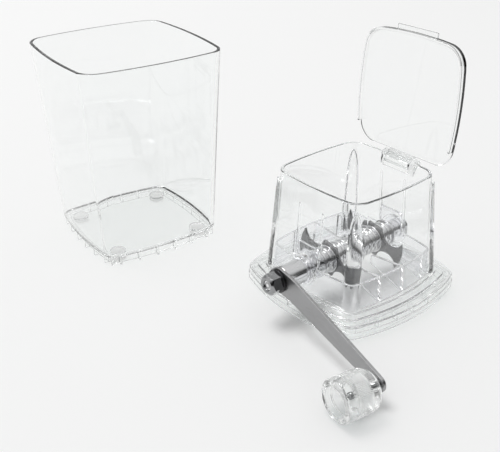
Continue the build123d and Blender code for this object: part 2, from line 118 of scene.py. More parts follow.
def loft(rings, closed=False, capped=True):
    # skins rings of equal length; closed joins the last ring to the first
    mesh = bmesh.new()
    rows = [[mesh.verts.new(Vector(p) * mm) for p in ring] for ring in rings]
    pairs = list(zip(rows, rows[1:])) + ([(rows[-1], rows[0])] if closed else [])
    for low, high in pairs:
        for k in range(len(low)):
            n = (k + 1) % len(low)
            mesh.faces.new((low[k], low[n], high[n], high[k]))
    if capped and not closed:
        mesh.faces.new(rows[0][::-1])
        mesh.faces.new(rows[-1])
    bmesh.ops.recalc_face_normals(mesh, faces=mesh.faces)
    return mesh


def wallLoft(path, closed, cuts=4):
    return loft([outline(*p) for p in softened(path, closed, cuts)], closed)


def lathe(profile, place, closed=False, turns=64, cuts=4, flute=None):
    # turns (along, radius, rounding) points about the place's own z axis
    points = softened(profile, closed, cuts)
    rings = []
    for along, radius in points:
        ring = []
        for k in range(turns):
            a = 2 * math.pi * k / turns
            r = radius if flute is None else flute(along, radius, a)
            ring.append(place @ Vector((r * math.cos(a), r * math.sin(a), along)))
        rings.append(ring)
    return loft(rings, closed)


def rod(low, high, radius, place, rounding=0, turns=64):
    profile = [(low, centreRadius, 0), (low, radius, rounding),
               (high, radius, rounding), (high, centreRadius, 0)]
    return lathe(profile, place, turns=turns)


def slab(corners, thickness, place, rounding, cuts=2):
    # flat plate from an outline in the place's xy plane, with its edges rounded
    mesh = bmesh.new()
    base = [mesh.verts.new(place @ Vector((x, y, 0)) * mm) for x, y in corners]
    top = [mesh.verts.new(place @ Vector((x, y, thickness)) * mm) for x, y in corners]
    mesh.faces.new(base[::-1])
    mesh.faces.new(top)
    for k in range(len(base)):
        n = (k + 1) % len(base)
        mesh.faces.new((base[k], base[n], top[n], top[k]))
    bmesh.ops.recalc_face_normals(mesh, faces=mesh.faces)
    if rounding:
        sharp = [e for e in mesh.edges if e.calc_face_angle(0) > math.radians(28)]
        bmesh.ops.bevel(mesh, geom=sharp, offset=rounding * mm, segments=cuts, profile=0.5,
                        affect="EDGES", clamp_overlap=True)
    return mesh


def brick(low, high, rounding, place=Matrix()):
    corners = [(low[0], low[1]), (high[0], low[1]), (high[0], high[1]), (low[0], high[1])]
    return slab(corners, high[2] - low[2], place @ Matrix.Translation((0, 0, low[2])), rounding)


def moved(mesh, place):
    # the place is in millimetres, the mesh in metres
    turn = Matrix.Translation(place.translation * mm) @ place.to_3x3().to_4x4()
    bmesh.ops.transform(mesh, matrix=turn, verts=mesh.verts)
    return mesh


def alongX(x=0.0, y=0.0, z=shaft["z"]):
    # place whose z axis runs along the shaft, towards +X
    return Matrix.Translation((x, y, z)) @ Matrix.Rotation(math.radians(90), 4, "Y")


def outward(side):
    # along the shaft, away from the head's middle
    return alongX() if side > 0 else alongX() @ Matrix.Rotation(math.pi, 4, "X")


def alongY(x, z):
    return Matrix.Translation((x, 0, z)) @ Matrix.Rotation(math.radians(-90), 4, "X")


def asObject(mesh, name):
    data = bpy.data.meshes.new(name)
    mesh.to_mesh(data)
    mesh.free()
    thing = bpy.data.objects.new(name, data)
    bpy.context.scene.collection.objects.link(thing)
    return thing


def asMesh(thing):
    mesh = bmesh.new()
    mesh.from_mesh(thing.data)
    bpy.data.objects.remove(thing)
    return mesh


def moulded(name, core, adds=(), cuts=()):
    # one moulding: the core with pieces welded on, then holes cut
    body = asObject(core, name)
    tools = []
    for operation, group in (("UNION", adds), ("DIFFERENCE", cuts)):
        for k, mesh in enumerate(group):
            tool = asObject(mesh, f"{name}.{operation.lower()}{k}")
            step = body.modifiers.new(tool.name, "BOOLEAN")
            step.operation = operation
            step.solver = "EXACT"
            step.object = tool
            tools.append(tool)
    graph = bpy.context.evaluated_depsgraph_get()
    whole = bpy.data.meshes.new_from_object(body.evaluated_get(graph))
    body.modifiers.clear()
    body.data = whole
    for tool in tools:
        bpy.data.objects.remove(tool)
    return body


def finished(piece, body, node, material, sharp=35):
    # shading, material and its place in the frame
    piece.data.materials.clear()
    piece.data.materials.append(material)
    for face in piece.data.polygons:
        face.use_smooth = True
        face.material_index = 0
    piece.data.set_sharp_from_angle(angle=math.radians(sharp))
    even = piece.modifiers.new("evenShading", "WEIGHTED_NORMAL")  # keeps long flat walls optically flat
    even.keep_sharp = True
    even.weight = 80
    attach(piece, body)
    if node:
        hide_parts(node)
    return piece


# Shader groups

def newGroup(name, inputs, outputs):
    group = bpy.data.node_groups.new(name, "ShaderNodeTree")
    for label, kind, value in inputs:
        socket = group.interface.new_socket(name=label, in_out="INPUT", socket_type=kind)
        socket.default_value = value
    for label, kind in outputs:
        group.interface.new_socket(name=label, in_out="OUTPUT", socket_type=kind)
    return group, group.nodes.new("NodeGroupInput"), group.nodes.new("NodeGroupOutput")


def addNode(tree, kind, **settings):
    node = tree.nodes.new(kind)
    for key, value in settings.items():
        setattr(node, key, value)
    return node


def mathNode(tree, operation, a, b, clamp=False):
    node = addNode(tree, "ShaderNodeMath", operation=operation, use_clamp=clamp)
    for socket, value in zip(node.inputs, (a, b)):
        if isinstance(value, bpy.types.NodeSocket):
            tree.links.new(value, socket)
        else:
            socket.default_value = value
    return node.outputs[0]


def mixed(tree, factor, first, second):
    mix = addNode(tree, "ShaderNodeMix", data_type="RGBA")
    tree.links.new(factor, mix.inputs["Factor"])
    tree.links.new(first, mix.inputs["A"])
    tree.links.new(second, mix.inputs["B"])
    return mix.outputs["Result"]


def makeSmudgeGroup():
    # faint handling marks and moulding flow, for clear and polished faces
    group, entry, out = newGroup("smudges", [
        ("Scale", "NodeSocketFloat", 60.0), ("Low", "NodeSocketFloat", 0.01),
        ("High", "NodeSocketFloat", 0.06)],
        [("Roughness", "NodeSocketFloat"), ("Height", "NodeSocketFloat")])
    place = addNode(group, "ShaderNodeTexCoord")
    broad = addNode(group, "ShaderNodeTexNoise")
    fine = addNode(group, "ShaderNodeTexNoise")
    broad.inputs["Detail"].default_value = 4
    fine.inputs["Detail"].default_value = 2
    group.links.new(place.outputs["Object"], broad.inputs["Vector"])
    group.links.new(place.outputs["Object"], fine.inputs["Vector"])
    group.links.new(entry.outputs["Scale"], broad.inputs["Scale"])
    group.links.new(mathNode(group, "MULTIPLY", entry.outputs["Scale"], 0.35), fine.inputs["Scale"])
    spread = addNode(group, "ShaderNodeMapRange", interpolation_type="SMOOTHSTEP")
    spread.inputs["From Min"].default_value = 0.42
    spread.inputs["From Max"].default_value = 0.72
    group.links.new(broad.outputs["Fac"], spread.inputs["Value"])
    group.links.new(entry.outputs["Low"], spread.inputs["To Min"])
    group.links.new(entry.outputs["High"], spread.inputs["To Max"])
    group.links.new(spread.outputs["Result"], out.inputs["Roughness"])
    group.links.new(fine.outputs["Fac"], out.inputs["Height"])
    return group


def makeBrushGroup():
    # fine parallel scratches: stretch is the scale across x, y and z
    group, entry, out = newGroup("brushed", [
        ("Stretch", "NodeSocketVector", (400.0, 8.0, 8.0)), ("Low", "NodeSocketFloat", 0.2),
        ("High", "NodeSocketFloat", 0.4), ("Turn", "NodeSocketVector", (0.0, 0.0, 0.0))],
        [("Shade", "NodeSocketFloat"), ("Roughness", "NodeSocketFloat"), ("Height", "NodeSocketFloat")])
    place = addNode(group, "ShaderNodeTexCoord")
    mapping = addNode(group, "ShaderNodeMapping", vector_type="POINT")
    grain = addNode(group, "ShaderNodeTexNoise")
    grain.inputs["Scale"].default_value = 1.0
    grain.inputs["Detail"].default_value = 5
    spin = addNode(group, "ShaderNodeMapping", vector_type="POINT")
    group.links.new(place.outputs["Object"], spin.inputs["Vector"])
    group.links.new(entry.outputs["Turn"], spin.inputs["Rotation"])
    group.links.new(spin.outputs["Vector"], mapping.inputs["Vector"])
    group.links.new(entry.outputs["Stretch"], mapping.inputs["Scale"])
    group.links.new(mapping.outputs["Vector"], grain.inputs["Vector"])
    rough = addNode(group, "ShaderNodeMapRange")
    rough.inputs["From Min"].default_value = 0.3
    rough.inputs["From Max"].default_value = 0.7
    group.links.new(grain.outputs["Fac"], rough.inputs["Value"])
    group.links.new(entry.outputs["Low"], rough.inputs["To Min"])
    group.links.new(entry.outputs["High"], rough.inputs["To Max"])
    group.links.new(grain.outputs["Fac"], out.inputs["Shade"])
    group.links.new(rough.outputs["Result"], out.inputs["Roughness"])
    group.links.new(grain.outputs["Fac"], out.inputs["Height"])
    return group


def makeWearGroup():
    # lighter worn edges, by the shape's own curvature
    group, entry, out = newGroup("edgeWear", [
        ("Color", "NodeSocketColor", (0.5, 0.5, 0.5, 1)),
        ("Worn", "NodeSocketColor", (0.8, 0.8, 0.8, 1)),
        ("Amount", "NodeSocketFloat", 0.5)], [("Color", "NodeSocketColor")])
    shape = addNode(group, "ShaderNodeNewGeometry")
    noise = addNode(group, "ShaderNodeTexNoise")
    place = addNode(group, "ShaderNodeTexCoord")
    noise.inputs["Scale"].default_value = 900
    group.links.new(place.outputs["Object"], noise.inputs["Vector"])
    edge = addNode(group, "ShaderNodeMapRange", interpolation_type="SMOOTHSTEP")
    edge.inputs["From Min"].default_value = 0.51
    edge.inputs["From Max"].default_value = 0.62
    group.links.new(shape.outputs["Pointiness"], edge.inputs["Value"])
    broken = mathNode(group, "MULTIPLY", edge.outputs["Result"], noise.outputs["Fac"])
    mask = mathNode(group, "MULTIPLY", broken, entry.outputs["Amount"], clamp=True)
    blend = mixed(group, mask, entry.outputs["Color"], entry.outputs["Worn"])
    group.links.new(blend, out.inputs["Color"])
    return group


smudges = makeSmudgeGroup()
brushed = makeBrushGroup()
edgeWear = makeWearGroup()
markDepth, grainDepth = 0.0004, 0.0002  # metres


def newMaterial(name):
    material = bpy.data.materials.new(name)
    material.use_nodes = True
    tree = material.node_tree
    return material, tree, tree.nodes["Principled BSDF"]


def placeGroup(tree, group, **values):
    node = addNode(tree, "ShaderNodeGroup", node_tree=group)
    for label, value in values.items():
        node.inputs[label].default_value = value
    return node


def addBump(tree, surface, height, strength, distance):
    bump = addNode(tree, "ShaderNodeBump")
    bump.inputs["Strength"].default_value = strength
    bump.inputs["Distance"].default_value = distance
    tree.links.new(height, bump.inputs["Height"])
    tree.links.new(bump.outputs["Normal"], surface.inputs["Normal"])


def clearPlastic(name, look):
    # moulded clear plastic; lamp light and the floor's own light pass it straight, with a small loss
    material, tree, surface = newMaterial(name)
    surface.inputs["Base Color"].default_value = (*look["tint"], 1)
    surface.inputs["Metallic"].default_value = 0
    surface.inputs["Transmission Weight"].default_value = 1
    surface.inputs["IOR"].default_value = look["ior"]
    marks = placeGroup(tree, smudges, Scale=look["scale"], Low=look["low"], High=look["high"])
    tree.links.new(marks.outputs["Roughness"], surface.inputs["Roughness"])
    addBump(tree, surface, marks.outputs["Height"], look["bump"], markDepth)
    shade = addNode(tree, "ShaderNodeBsdfTransparent")
    shade.inputs["Color"].default_value = (*look["shadow"], 1)
    light = addNode(tree, "ShaderNodeLightPath")
    straight = mathNode(tree, "MAXIMUM", light.outputs["Is Shadow Ray"], light.outputs["Is Diffuse Ray"])
    mix = addNode(tree, "ShaderNodeMixShader")
    tree.links.new(straight, mix.inputs["Fac"])
    tree.links.new(surface.outputs["BSDF"], mix.inputs[1])
    tree.links.new(shade.outputs["BSDF"], mix.inputs[2])
    tree.links.new(mix.outputs["Shader"], tree.nodes["Material Output"].inputs["Surface"])
    return material


def metal(name, look):
    material, tree, surface = newMaterial(name)
    surface.inputs["Metallic"].default_value = 1
    wear = placeGroup(tree, edgeWear, Color=(*look["color"], 1), Worn=(*look["worn"], 1),
                      Amount=look["wear"])
    grain = placeGroup(tree, brushed, Stretch=look["stretch"], Low=look["low"], High=look["high"],
                       Turn=look.get("turn", (0, 0, 0)))
    tone = addNode(tree, "ShaderNodeMix", data_type="RGBA", blend_type="MULTIPLY")
    tone.inputs["Factor"].default_value = look["streaks"]
    tree.links.new(wear.outputs["Color"], tone.inputs["A"])
    tree.links.new(grain.outputs["Shade"], tone.inputs["B"])
    tree.links.new(tone.outputs["Result"], surface.inputs["Base Color"])
    tree.links.new(grain.outputs["Roughness"], surface.inputs["Roughness"])
    addBump(tree, surface, grain.outputs["Height"], look["bump"], grainDepth)
    return material


looks = {
    "shell": {"tint": (0.985, 0.992, 0.99), "ior": 1.49, "shadow": (0.982, 0.986, 0.984),
              "scale": 45, "low": 0.0, "high": 0.02, "bump": 0.02},
    "insert": {"tint": (0.955, 0.955, 0.968), "ior": 1.49, "shadow": (0.96, 0.96, 0.965),
               "scale": 80, "low": 0.02, "high": 0.08, "bump": 0.02},
    "knob": {"tint": (0.98, 0.99, 0.985), "ior": 1.49, "shadow": (0.86, 0.87, 0.87),
             "scale": 90, "low": 0.0, "high": 0.03, "bump": 0.03},
    "pads": {"tint": (0.975, 0.955, 0.96), "ior": 1.25, "shadow": (0.9, 0.9, 0.9),
             "scale": 150, "low": 0.3, "high": 0.45, "bump": 0.2},
    "sleeve": {"color": (0.86, 0.86, 0.87), "worn": (0.95, 0.95, 0.95), "wear": 0.3,
               "stretch": (900, 12, 12), "low": 0.05, "high": 0.11, "streaks": 0.05, "bump": 0.02},
    "spacer": {"color": (0.84, 0.84, 0.85), "worn": (0.95, 0.95, 0.95), "wear": 0.3,
               "stretch": (900, 12, 12), "low": 0.05, "high": 0.12, "streaks": 0.08, "bump": 0.02},
    "nut": {"color": (0.36, 0.365, 0.37), "worn": (0.8, 0.8, 0.8), "wear": 0.6,
            "stretch": (900, 60, 60), "low": 0.08, "high": 0.2, "streaks": 0.2, "bump": 0.05},
    # washer colour is painted shade: near black, it stands in for the shadow in the gap between the nut and
    # the arm
    "washer": {"color": (0.05, 0.05, 0.052), "worn": (0.3, 0.3, 0.3), "wear": 0.4,
               "stretch": (900, 60, 60), "low": 0.2, "high": 0.4, "streaks": 0.2, "bump": 0.05},
    "arm": {"color": (0.43, 0.43, 0.435), "worn": (0.85, 0.85, 0.85), "wear": 0.7,
            "stretch": (25, 25, 900), "low": 0.26, "high": 0.42, "streaks": 0.35, "bump": 0.06,
            "turn": (math.radians(-9.3), 0, 0)},
    "blade": {"color": (0.2, 0.2, 0.205), "worn": (0.6, 0.6, 0.6), "wear": 0.6,
              "stretch": (60, 400, 40), "low": 0.16, "high": 0.3, "streaks": 0.25, "bump": 0.04},
}
shellPlastic = clearPlastic("shellPlastic", looks["shell"])
insertPlastic = clearPlastic("insertPlastic", looks["insert"])
knobPlastic = clearPlastic("knobPlastic", looks["knob"])
padVinyl = clearPlastic("padVinyl", looks["pads"])
polishedSleeve = metal("polishedSleeve", looks["sleeve"])
brightSpacer = metal("brightSpacer", looks["spacer"])
nutSteel = metal("nutSteel", looks["nut"])
# washer material with painted shade: its near-black colour stands in for the shadow between the nut and the
# arm
washerPaintedShade = metal("washerPaintedShade", looks["washer"])
armSteel = metal("armSteel", looks["arm"])
bladeSteel = metal("bladeSteel", looks["blade"])
print("materials made")

# Hopper with its flange, skirt, ribs, bearing bosses and hinge ears
hopper = {
    "wall": 2.4, "lip": 0.8, "foot": 11.4,
    "skirtInset": 2.6, "skirtFoot": 3.0, "tierZ": 8.4, "tierStep": 0.6,
    "flangeZ": 13.7, "edge": 1.0, "steps": ((0.55, 14.9), (0.19, 16.0)),
    "ribFoot": 12.4, "ribTop": 89.0, "ribStep": 49.0, "ribWaist": 0.93,
    "ribRadii": (6.4, 6.3), "ribStandOut": 2.0,
    "ribEnd": ((0.0, 0.95), (0.25, 0.93), (0.44, 0.9), (0.6, 0.81), (0.72, 0.7), (0.83, 0.56),
               (0.91, 0.42), (0.97, 0.24), (1.0, 0.08)),
    "bossRadius": 12.0, "bossRound": 0.7, "bossSink": 5.2, "bore": 7.05,
    "hingeX": 46.8, "hingeZ": 93.6, "pinBore": 1.36,
    "earInner": 12.2, "earWidths": {-1: 6.0, 1: 1.8}, "earRadius": 2.9, "earDrop": 10.0,
    "earRoot": 43.0, "earFoot": 43.4, "earTop": 2.2, "earNose": 1.8,
    "plateLow": 84.2, "plateHigh": 87.8, "plateRoot": 43.2, "plateX": 46.0,
    "guideInner": 10.7, "guideWidth": 1.4, "guideDepth": 1.5, "guideTop": 80.0, "guideFoot": 35.2,
    "clearSpan": (10, 97), "clearInset": 24,
}


def hopperShell():
    h = hopper
    top, foot = hopperAt(walls["rimZ"]), hopperAt(h["foot"])
    flange = walls["flange"]
    path = [
        (*top, 0, walls["rimZ"], h["lip"]), (*top, h["wall"], walls["rimZ"], h["lip"]),
        (*foot, h["wall"], h["foot"], 0.3),
        (*flange, h["skirtInset"], h["foot"], 0.9), (*flange, h["skirtInset"], h["skirtFoot"], 0.6),
        (*flange, 0, h["skirtFoot"], 0.6), (*flange, 0, h["tierZ"], 0.4),
        (*flange, h["tierStep"], h["tierZ"], 0.3), (*flange, h["tierStep"], h["flangeZ"], h["edge"]),
    ]
    low = h["flangeZ"]
    for share, high in h["steps"]:
        path += [(*flangeAt(share), 0, low, 0.4), (*flangeAt(share), 0, high, 0.6)]
        low = high
    path.append((*hopperAt(low), 0, low, 0.7))
    return wallLoft(path, True)


def cornerRib(quarter):
    h = hopper

    def ring(z, radius):
        half, corner, crown = hopperAt(z)
        far = max(outline(half, corner, crown, 0, z), key=lambda p: p.x + p.y).xy.length
        spin = Matrix.Rotation(math.radians(45 + 90 * quarter), 4, "Z")
        out = far + h["ribStandOut"] - radius
        turns = [2 * math.pi * k / 28 for k in range(28)]
        return [spin @ Vector((out + radius * math.cos(a), radius * math.sin(a), z)) for a in turns]

    step, rise = h["ribStep"], h["ribTop"] - h["ribStep"]
    low, neck = h["ribRadii"]
    rings = [ring(h["ribFoot"], low), ring(step - 0.5, neck), ring(step, neck * h["ribWaist"])]
    rings += [ring(step + 0.3 + share * (rise - 0.3), size * neck) for share, size in h["ribEnd"]]
    return loft(rings)


def bearingBoss(side):
    h = hopper
    inner, front = walls["hopperFoot"][0] - h["bossSink"], shaft["bossFace"]
    profile = [(inner, centreRadius, 0), (inner, h["bossRadius"], 0),
               (front, h["bossRadius"], h["bossRound"]), (front, centreRadius, 0)]
    return lathe(profile, outward(side))


def hingeEar(side):
    h = hopper
    x, z, r = h["hingeX"], h["hingeZ"], h["earRadius"]
    arc = [(x + r * math.sin(a), z + r * math.cos(a)) for a in [math.radians(k * 15) for k in range(10)]]
    top = z + h["earTop"]
    corners = [(h["earRoot"], top), (x - h["earNose"], top), *arc, (h["earFoot"], z - h["earDrop"])]
    width = h["earWidths"][side]
    high = h["earInner"] + width if side > 0 else -h["earInner"]
    place = Matrix.Translation((0, high, 0)) @ Matrix.Rotation(math.radians(90), 4, "X")
    return slab(corners, width, place, 0.35)


def earPlate():
    h = hopper
    half = h["earInner"] + 0.1
    return brick((h["plateRoot"], -half, h["plateLow"]), (h["plateX"], half, h["plateHigh"]), 0.3)


def guideRail(side, edge):
    h = hopper
    low, high = edge * h["guideInner"], edge * (h["guideInner"] + h["guideWidth"])
    rows = []
    for z in (h["guideFoot"], h["guideTop"] - 2, h["guideTop"]):
        wallX = hopperAt(z)[0] - h["wall"] - 0.15
        depth = h["guideDepth"] if z < h["guideTop"] else 0.3
        corners = ((wallX + 0.9, low), (wallX - depth, low), (wallX - depth, high), (wallX + 0.9, high))
        rows.append([Vector((side * x, y, z)) for x, y in corners])
    return loft(rows)


def outerForms():
    # ribs and bosses, cleared inside the wall
    h = hopper
    low, high = h["clearSpan"]
    middle, deep = h["wall"] / 2, h["clearInset"]
    clear = wallLoft([(*hopperAt(low), deep, low, 0), (*hopperAt(low), middle, low, 0),
                      (*hopperAt(high), middle, high, 0), (*hopperAt(high), deep, high, 0)], False)
    adds = [cornerRib(k) for k in (1, 2, 3)] + [bearingBoss(-1), bearingBoss(1)]
    return asMesh(moulded("outerForms", cornerRib(0), adds, [clear]))


def shaftBore():
    return rod(-60, 60, hopper["bore"], alongX())


hingeLine = alongY(hopper["hingeX"], hopper["hingeZ"])
hopperPiece = moulded(
    "hopperShell", hopperShell(),
    [outerForms(), hingeEar(-1), hingeEar(1), earPlate()]
    + [guideRail(side, edge) for side in (-1, 1) for edge in (-1, 1)],
    [shaftBore(), rod(-30, 30, hopper["pinBore"], hingeLine, turns=32)])
finished(hopperPiece, "head", "hopper_housing", shellPlastic)
print("hopper made")

# Ice chamber: an insert with fixed teeth between the blades
chamber = {
    "outside": 2.7, "wall": 2.0, "foot": 11.42, "rim": 34.6, "tabHalf": 10.4,
    "tabSection": ((30, 2.9), (50.5, 2.7), (51.0, 3.2), (51.0, 4.2), (50.5, 4.7), (30, 4.5)),
    "toothThickness": 2.6, "toothTip": 15.0, "tipZ": (24.0, 31.0), "footZ": 14.0,
    "toothRoot": 3.7, "toothNeck": 2.2,
    "toothX": (-17.25, 5.75, 28.75),
}
bladeX = (-23.0, 23.0)


def sideWall(shape, x, inset):
    # distance of a bowed wall from the middle, x along the wall
    half, corner, crown = shape
    radius = ((half - crown - corner) ** 2 + crown ** 2) / (2 * crown)
    return half - radius + math.sqrt((radius - inset) ** 2 - x * x)


def wallY(z, x, inset):
    return sideWall(hopperAt(z), x, inset)


def chamberWalls():
    c = chamber
    top, foot = hopperAt(c["rim"]), hopperAt(c["foot"])
    inner = c["outside"] + c["wall"]
    return wallLoft([(*top, c["outside"], c["rim"], 0.5), (*top, inner, c["rim"], 0.5),
                     (*foot, inner, c["foot"], 0.4), (*foot, c["outside"], c["foot"], 0.4)], True, 3)


def chamberTab(side):
    rows = []
    for k in range(9):
        y = chamber["tabHalf"] * (k / 4 - 1)
        rows.append([Vector((side * wallY(z, y, inset), y, z)) for z, inset in chamber["tabSection"]])
    return loft(rows)


def chamberTooth(x, side):
    c = chamber
    low, high = c["footZ"], c["rim"] - 0.3
    lowY, highY = wallY(low, x, c["toothRoot"]), wallY(high, x, c["toothRoot"])
    corners = [(side * lowY, low), (side * highY, high), (side * (highY - c["toothNeck"]), high),
               (side * c["toothTip"], c["tipZ"][1]), (side * c["toothTip"], c["tipZ"][0])]
    place = Matrix(((0, 0, 1, x - c["toothThickness"] / 2), (1, 0, 0, 0), (0, 1, 0, 0), (0, 0, 0, 1)))
    return slab(corners, c["toothThickness"], place, 0.45)


chamberPiece = moulded(
    "chamberInsert", chamberWalls(),
    [chamberTab(-1), chamberTab(1)]
    + [chamberTooth(x, side) for x in chamber["toothX"] for side in (-1, 1)],
    [shaftBore()])
finished(chamberPiece, "head", "ice_chamber", insertPlastic)
print("ice chamber made")

# Collar ring under the flange, with its gussets
collar = {
    "outside": 3.6, "wall": 2.2, "ledge": 2.0, "opening": 5.7, "top": 11.34,  # just under the flange
    "pitch": 16.5, "each": 7, "thickness": 1.8, "gussetFoot": 7.0, "skirtInset": 2.85,
}


def gusset(k, quarter):
    c = collar
    middle = (k - (c["each"] - 1) / 2) * c["pitch"]
    inner = sideWall(walls["binRim"], middle, c["outside"] + 1.0)
    outer = sideWall(walls["flange"], middle, c["skirtInset"] + 0.1)
    spin = Matrix.Rotation(math.radians(90 * quarter), 4, "Z")
    half = c["thickness"] / 2
    return brick((inner, middle - half, c["gussetFoot"]), (outer, middle + half, c["top"]), 0.3, spin)


def collarRing():
    c = collar
    rim, mouth = walls["binRim"], hopperAt(c["top"])
    outer, inner = c["outside"], c["outside"] + c["wall"]
    ledge = c["top"] - c["ledge"]
    path = [(*rim, outer, c["top"], 0.4), (*rim, outer, 0, 0.6),
            (*rim, inner, 0, 0.6), (*rim, inner, ledge, 0.8),
            (*mouth, c["opening"], ledge, 0.4), (*mouth, c["opening"], c["top"], 0.4)]
    return wallLoft(path, True, 3)


collarPiece = moulded("collarRing", collarRing(),
                      [gusset(k, quarter) for k in range(collar["each"]) for quarter in range(4)])
finished(collarPiece, "head", "base_collar", shellPlastic)
print("collar made")

# Bin with its lip, floor and ribbed plinth
tub = {
    "wall": 2.6, "lip": 0.9, "floorTop": 8.8, "floorLow": 5.9, "floorInset": 22,
    "plinthInset": 4.5, "plinthWall": 2.0, "plinthFoot": 0.8,
    "pitch": 16.0, "each": 6, "ribThickness": 1.6, "ribInset": 1.0, "ribRound": 0.25,
    "ribLap": 0.4, "webLength": 7.0,
    "padPlace": 37.0, "padRadius": 6.5, "padTop": 3.5,
}


def tubShell():
    t = tub
    rim, rimZ = walls["binRim"], walls["binRimZ"]
    foot, footZ, floorRing = walls["binFoot"], walls["binFootZ"], binAt(t["floorTop"])
    outer = t["plinthInset"]
    inner = outer + t["plinthWall"]
    path = [
        (*foot, t["floorInset"], t["floorLow"], 0), (*foot, inner, t["floorLow"], 0.5),
        (*foot, inner, t["plinthFoot"], 0.4), (*foot, outer, t["plinthFoot"], 0.4),
        (*foot, outer, footZ, 0.3), (*foot, 0, footZ, 0.7),
        (*rim, 0, rimZ, t["lip"]), (*rim, t["wall"], rimZ, t["lip"]),
        (*floorRing, t["wall"], t["floorTop"], 2.2), (*floorRing, t["floorInset"], t["floorTop"], 0)]
    return wallLoft(path, False)


def plinthRib(k, quarter):
    t = tub
    middle = (k - (t["each"] - 1) / 2) * t["pitch"]
    inner = sideWall(walls["binFoot"], middle, t["plinthInset"] + 1.0)
    outer = sideWall(walls["binFoot"], middle, t["ribInset"])
    return plinthBar(inner, outer, middle, 90 * quarter)


def plinthBar(inner, outer, middle, degrees):
    t = tub
    spin = Matrix.Rotation(math.radians(degrees), 4, "Z")
    half = t["ribThickness"] / 2
    low = (inner, middle - half, t["plinthFoot"])
    high = (outer, middle + half, walls["binFootZ"] + t["ribLap"])
    return brick(low, high, t["ribRound"], spin)


def cornerWeb(quarter):
    far = max(outline(*walls["binFoot"], tub["ribInset"], 0), key=lambda p: p.x + p.y).xy.length
    return plinthBar(far - tub["webLength"], far, 0, 45 + 90 * quarter)


def padPost(x, y):
    radius, low, top = tub["padRadius"], tub["padTop"], tub["floorLow"] + 0.8
    profile = [(low, centreRadius, 0), (low, radius, 0.3), (top, radius, 0), (top, centreRadius, 0)]
    return lathe(profile, Matrix.Translation((x, y, 0)), turns=40)


padSides = (-tub["padPlace"], tub["padPlace"])
padPlaces = [(x, y) for x in padSides for y in padSides]
tubAdds = [plinthRib(k, quarter) for k in range(tub["each"]) for quarter in range(4)]
tubAdds += [cornerWeb(quarter) for quarter in range(4)] + [padPost(x, y) for x, y in padPlaces]
tubPiece = moulded("binTub", moved(tubShell(), binPlace), [moved(mesh, binPlace) for mesh in tubAdds])
finished(tubPiece, "bin", "bin_body", shellPlastic)


def binPad(x, y):
    radius, top = tub["padRadius"], tub["padTop"] - 0.02
    profile = [(0, centreRadius, 0), (0, radius - 1.2, 0.4), (0.9, radius, 0.5), (2.4, radius, 0.4),
               (top, radius - 0.5, 0.3), (top, centreRadius, 0)]
    return lathe(profile, binPlace @ Matrix.Translation((x, y, 0)), turns=48)


pads = [asObject(binPad(x, y), f"binPad{k + 1}") for k, (x, y) in enumerate(padPlaces)]
for k, pad in enumerate(pads):
    finished(pad, "bin", "bin_feet" if k == 0 else None, padVinyl)
print("bin made")

# Lid, open on its heel
lid = {
    "open": 92.7, "gap": 0.5, "wall": 1.9, "underside": 96.6, "thickness": 2.0, "skirt": 4.0,
    "tabWidth": 36.0, "tabReach": 3.0, "knuckle": 2.6, "knuckleHalf": 11.8, "lugReach": 1.8,
    "pinBore": 1.35, "heelHalf": 11.8, "heelDrop": 5.0, "middleInset": 16, "cutX": 30.2, "away": 60,
}
hingeMiddle = Vector((hopper["hingeX"], 0, hopper["hingeZ"]))
lidTurn = (Matrix.Translation(hingeMiddle) @ Matrix.Rotation(math.radians(lid["open"]), 4, "Y")
           @ Matrix.Translation(-hingeMiddle))


def lidShell():
    s = lid
    rim = walls["hopperRim"]
    inner, outer = -s["gap"], -(s["gap"] + s["wall"])
    under = s["underside"]
    top, low = under + s["thickness"], under - s["skirt"]
    path = [(*rim, s["middleInset"], top, 0), (*rim, outer, top, 1.1), (*rim, outer, low, 0.5),
            (*rim, inner, low, 0.5), (*rim, inner, under, 0.8), (*rim, s["middleInset"], under, 0)]
    return wallLoft(path, False)


def lidParts():
    s = lid
    edge = -walls["hopperRim"][0] - s["gap"] - s["wall"]
    hingeX, hingeZ = hopper["hingeX"], hopper["hingeZ"]
    half, far, under = s["knuckleHalf"], s["away"], s["underside"]
    top = under + s["thickness"]
    tab = brick((edge - s["tabReach"], -s["tabWidth"] / 2, under + 0.1),
                (edge + 1.2, s["tabWidth"] / 2, top - 0.3), 0.45)
    lug = brick((hingeX - 2.7, -half, hingeZ), (hingeX + s["lugReach"], half, top), 0.3)
    knuckle = rod(-half, half, s["knuckle"], hingeLine, 0.3, turns=40)
    skirtCut = brick((s["cutX"], -far, under - s["skirt"] - 2), (far, far, under - 0.01), 0)
    backCut = brick((walls["hopperRim"][0] + 0.5, -far, under - 6), (far, far, under + 4), 0)
    return tab, lug, knuckle, skirtCut, backCut


def lidPieceMade():
    s = lid
    tab, lug, knuckle, skirtCut, backCut = lidParts()
    core = asMesh(moulded("lidTrimmed", lidShell(), [tab], [skirtCut, backCut]))
    hingeX, hingeZ = hopper["hingeX"], hopper["hingeZ"]
    half, foot = s["heelHalf"], hingeZ - s["heelDrop"]
    wallX = hopperAt(foot)[0] + 0.1
    heel = brick((wallX, -half, foot), (hingeX + 1.0, half, hingeZ), 0.2)
    bore = rod(-30, 30, s["pinBore"], hingeLine, turns=32)
    core, lug, knuckle = [moved(mesh, lidTurn) for mesh in (core, lug, knuckle)]
    return moulded("lidClear", core, [lug, knuckle, heel], [bore])


lidPiece = lidPieceMade()
finished(lidPiece, "lid", "lid", shellPlastic)
print("lid made")

